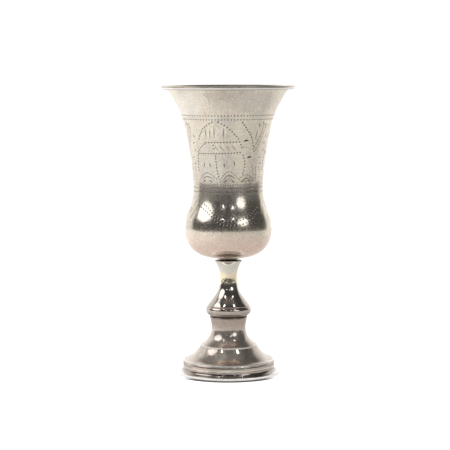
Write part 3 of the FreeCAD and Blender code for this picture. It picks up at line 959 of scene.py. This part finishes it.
knop_wall = 0.7
inner_r = KNOP_R - knop_wall
bulge_r, bulge_z = KNOP_R - 0.2, EQUATOR + 1.0
mouth_r = 9.85
turned("knop_top_half", [
    arc((KNOP_R, EQUATOR), (bulge_r, bulge_z), (mouth_r, KNOP_TOP)),
    line((mouth_r, KNOP_TOP), (mouth_r - knop_wall, KNOP_TOP)),
    arc((mouth_r - knop_wall, KNOP_TOP), (bulge_r - knop_wall, bulge_z), (inner_r, EQUATOR)),
    line((inner_r, EQUATOR), (KNOP_R, EQUATOR)),
], SILVER_KNOP, "knop_upper")
shoulder, floor_r, bore_r = (9.0, COLLAR_TOP + 0.45), 8.4, 2.25
inner_floor, inner_floor_r = COLLAR_TOP + SHEET, floor_r - 0.2
belly_z = EQUATOR - 1.45
turned("knop_bottom_half", [
    arc((KNOP_R, EQUATOR), (KNOP_R - 0.4, belly_z), shoulder)[::-1],
    line((KNOP_R, EQUATOR), (inner_r, EQUATOR)),
    arc((inner_r, EQUATOR), (KNOP_R - 1.2, belly_z), (inner_floor_r, inner_floor)),
    *lines((inner_floor_r, inner_floor), (bore_r, inner_floor), (bore_r, COLLAR_TOP),
           (floor_r, COLLAR_TOP), (floor_r, COLLAR_TOP + 0.25), shoulder),
], SILVER_KNOP, "knop_lower")
collar_hole_r, collar_r = 7.4, 8.95
turned("knop_collar", half_round(collar_hole_r, collar_r, NECK_TOP, COLLAR_TOP),
       SILVER_KNOP, "collar_ring")

neck = spline(LOWER_STEM_CURVE)
neck_in = inside(neck, level=True)
web = NECK_TOP - SHEET        # underside of the web that the washer presses on
neck_in = neck_in[neck_in[:, 1] < web - 0.05][::-1]
turned("foot_neck", [
    neck, line(neck[-1], (bore_r, NECK_TOP)),
    *lines((bore_r, NECK_TOP), (bore_r, web), (neck_in[0][0], web), neck_in[0]),
    neck_in, line(neck_in[-1], neck[0]),
], SILVER_FOOT, "lower_stem")

step_hole_r, step_r, step_round = 12.3, 13.35, 0.25
step_off = step_round * (1 - AT_45)
turned("foot_step", [
    *lines((step_hole_r, DOME_TOP), (step_r, DOME_TOP), (step_r, STEP_TOP - step_round)),
    arc((step_r, STEP_TOP - step_round), (step_r - step_off, STEP_TOP - step_off),
        (step_r - step_round, STEP_TOP)),
    *lines((step_r - step_round, STEP_TOP), (step_hole_r, STEP_TOP), (step_hole_r, DOME_TOP)),
], SILVER_FOOT, "step_ring")

dome = spline(DOME_CURVE)
dome_in = inside(dome, level=True)[::-1]
roll_r, lining_r, flat_z = widest("foot_dome"), 20.6, BAND_TOP + 0.15
roll_low, roll_high = (roll_r - 0.12, BAND_TOP), (roll_r - 0.3, BAND_TOP + 0.65)
turned("foot_dome_shell", [
    arc(roll_low, (roll_r, BAND_TOP + 0.3), roll_high),
    line(roll_high, DOME_CURVE[0]),
    dome, line(dome[-1], dome_in[0]), dome_in,
    *lines(dome_in[-1], (dome_in[-1][0], flat_z), (lining_r, flat_z), (lining_r, BAND_TOP), roll_low),
], SILVER_FOOT, "foot_dome")

valley_r, narrow_reed = BAND_R - 0.1, 0.5
reeds, reed_top = [], BAND_TOP
for reed in (narrow_reed, BAND_TOP - COVE_TOP - 2 * narrow_reed, narrow_reed):
    reeds.append(arc((valley_r, reed_top - reed), (BAND_R, reed_top - reed / 2), (valley_r, reed_top)))
    reed_top -= reed
turned("reeded_band", [
    *reeds[::-1],
    *lines((valley_r, BAND_TOP), (lining_r, BAND_TOP), (lining_r, COVE_TOP), (valley_r, COVE_TOP)),
], SILVER_BAND, "foot_band")
cove_r = widest("base_cove")
turned("base_hollow_moulding", [
    arc((cove_r, RING_TOP), (valley_r + 0.3, RING_TOP + 0.6), (valley_r, COVE_TOP)),
    *lines((valley_r, COVE_TOP), (lining_r, COVE_TOP), (lining_r, RING_TOP), (cove_r, RING_TOP)),
], SILVER_COVE, "base_cove")
ring_hole_r, edge, bevel, bevel_top = 20.2, 0.22, 0.5, 0.45
off = edge * (1 - AT_45)
turned("resting_ring", [
    arc((BASE_R, RING_TOP - edge), (BASE_R - off, RING_TOP - off), (BASE_R - edge, RING_TOP)),
    *lines((BASE_R - edge, RING_TOP), (ring_hole_r, RING_TOP), (ring_hole_r, 0.0),
           (BASE_R - bevel, 0.0), (BASE_R, bevel_top), (BASE_R, RING_TOP - edge)),
], SILVER_BASE, "base_ring")

# the boss and the fastening keep the CAD's own meshes, and only get their metals
for name in ("tie_rod", "clamp_washer", "retaining_nut", "bowl_boss"):
    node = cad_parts[name]
    metal = SILVER_HIDDEN if name == "bowl_boss" else BRASS
    node.data.materials.clear()
    node.data.materials.append(metal)


# ---- floor, light and camera --------------------------------------------------------------
CLEAR_TABLE, SHADED_TABLE = rgb(0.90, 0.89, 0.88), rgb(0.12, 0.11, 0.10)
TABLE_GLOW = 0.63         # light that the camera sees from the table on top of its lit colour
SHADOW_R = BASE_R + 1.6   # radius at which the dark line under the foot begins to fade


def floor():
    """A round white table top; beyond it the white studio takes over without a visible edge.

    The metal and the lit surfaces see painted pools of light on it, brighter on the left, behind and
    close to the foot. The camera sees an even white, with a painted shadow as a dark line under the front
    of the foot.
    """
    mesh = bpy.data.meshes.new("table")
    sides, radius = 128, 0.75
    ring = [(radius * math.cos(math.tau * i / sides), radius * math.sin(math.tau * i / sides), 0)
            for i in range(sides)]
    mesh.from_pydata(ring, [], [tuple(range(sides))])
    obj = bpy.data.objects.new("table", mesh)
    scene.collection.objects.link(obj)
    mat, k = new_material("table_white")
    x, y, z = k.axes(k.millimetres())
    r = k.length(x, y)
    pool = k.math("ADD", k.step(x, -160.0, 0.0, 0.17, 0.0), k.step(y, 0.0, 250.0, 0.01, 0.31))
    pool = k.math("ADD", pool, k.step(r, 28.5, 33.0, 0.45, 0.0))
    clear = k.math("MAXIMUM", k.step(r, SHADOW_R, SHADOW_R + 1.0), k.step(y, -19.5, -12.0))
    seen = k.new("ShaderNodeLightPath").outputs["Is Camera Ray"]
    glow = k.math("ADD", k.math("MULTIPLY", k.math("SUBTRACT", 1.0, seen), pool),
                  k.math("MULTIPLY", seen, k.math("MULTIPLY", clear, TABLE_GLOW)))
    shader = k.new("ShaderNodeBsdfPrincipled", {
        "Base Color": k.mix(clear, SHADED_TABLE, CLEAR_TABLE), "Roughness": 0.9,
        "Specular IOR Level": 0.1, "Emission Color": rgb(1, 1, 1), "Emission Strength": glow})
    k.new("ShaderNodeOutputMaterial", {"Surface": shader.outputs[0]})
    mesh.materials.append(mat)


floor()


LIT_POINT = Vector((0, 0, 0.06))    # what the lights face, near the middle of the cup


def softbox(name, azimuth, elevation, distance, wide, high, radiance, shape="ELLIPSE"):
    """A soft light that faces the cup. Its width and height are the angles it fills from there.

    Azimuth 0 is towards the camera and grows to the right, and a distance is in metres.
    """
    a, e = math.radians(azimuth), math.radians(elevation)
    away = Vector((math.sin(a) * math.cos(e), -math.cos(a) * math.cos(e), math.sin(e)))
    data = bpy.data.lights.new(name, "AREA")
    data.shape = shape
    data.size = 2 * distance * math.tan(math.radians(wide / 2))
    data.size_y = 2 * distance * math.tan(math.radians(high / 2))
    filled = math.pi / 4 if shape == "ELLIPSE" else 1.0
    area = data.size * data.size_y * filled
    data.energy = radiance * math.pi * area
    obj = bpy.data.objects.new(name, data)
    obj.location = away * distance + LIT_POINT
    obj.rotation_mode = "QUATERNION"
    obj.rotation_quaternion = away.to_track_quat("Z", "Y")
    scene.collection.objects.link(obj)


softbox("softbox_right", 41, 20, 1.6, 28, 20, 1.8)
softbox("softbox_left", -78, 34, 0.62, 46, 36, 1.7)
LAMP_DISTANCE, LAMP_RADIANCE = 1.3, 25.0
for name, azimuth, elevation, size in (
        ("lamp_a", 50, 57, 3.0), ("lamp_b", -38, 58, 3.0),
        ("lamp_c", -17, 29, 2.0), ("lamp_d", 15, 31, 2.0)):
    softbox(name, azimuth, elevation, LAMP_DISTANCE, size, size, LAMP_RADIANCE, "RECTANGLE")

DIM, FILL, WHITE = 0.065, 0.40, 1.05    # the studio's own light, its fill light, the white backdrop


def surroundings():
    """What the cup reflects: a dim studio with a pale sweep behind the table and a ceiling.

    Matt surfaces get some even light from it as well, and the camera sees a white backdrop.
    """
    world = bpy.data.worlds.new("studio")
    scene.world = world
    world.use_nodes = True
    k = Nodes(world.node_tree)
    x, y, z = k.axes(k.new("ShaderNodeTexCoord").outputs["Generated"])
    azimuth = k.math("DEGREES", k.math("ARCTAN2", x, k.math("MULTIPLY", y, -1.0)))
    elevation = k.math("DEGREES", k.math("ARCSINE", z))

    def patch(level, az0, az1, el0, el1, soft_az, soft_el):
        """A soft-edged patch between two azimuths and two elevations, in degrees."""
        across, upwards = k.window(azimuth, az0, az1, soft_az), k.window(elevation, el0, el1, soft_el)
        return k.math("MULTIPLY", k.math("MULTIPLY", across, upwards), level)

    light = DIM
    for p in (
        patch(0.85, -190, -112, -60, 40, 8, 10),        # sweep, behind on the left
        patch(0.85, 122, 190, -60, 36, 8, 10),          # sweep, behind on the right
        patch(0.35, 150, 190, -20, 26, 12, 6),          # its lit middle
        patch(0.35, -190, -150, -20, 26, 12, 6),
        patch(0.30, -120, -20, 66, 95, 20, 8),          # ceiling, left
        patch(0.14, -20, 120, 66, 95, 20, 8),           # ceiling, right
        patch(0.16, -190, -120, 55, 95, 15, 8),         # ceiling, behind
    ):
        light = k.math("ADD", p, light)
    path = k.new("ShaderNodeLightPath")
    light = k.math("ADD", light, k.math("MULTIPLY", path.outputs["Is Diffuse Ray"], FILL))
    studio = k.new("ShaderNodeBackground", {"Color": rgb(1, 0.985, 0.97), "Strength": light})
    white = k.new("ShaderNodeBackground", {"Color": rgb(1, 1, 1), "Strength": WHITE})
    mix = k.new("ShaderNodeMixShader", {
        0: path.outputs["Is Camera Ray"], 1: studio.outputs[0], 2: white.outputs[0]})
    k.new("ShaderNodeOutputWorld", {"Surface": mix.outputs[0]})


surroundings()
scene.view_settings.view_transform = "Standard"

LOOKS_DOWN, ROLL = 0.0961, math.radians(0.2)
camera_data = bpy.data.cameras.new("camera")
camera_data.sensor_width = 36.0
camera_data.lens = 137.36
camera = bpy.data.objects.new("camera", camera_data)
camera.location = (-0.00127, -0.8, 0.147)
camera.rotation_euler = (math.radians(90) - LOOKS_DOWN, ROLL, 0.0)
scene.collection.objects.link(camera)
scene.camera = camera
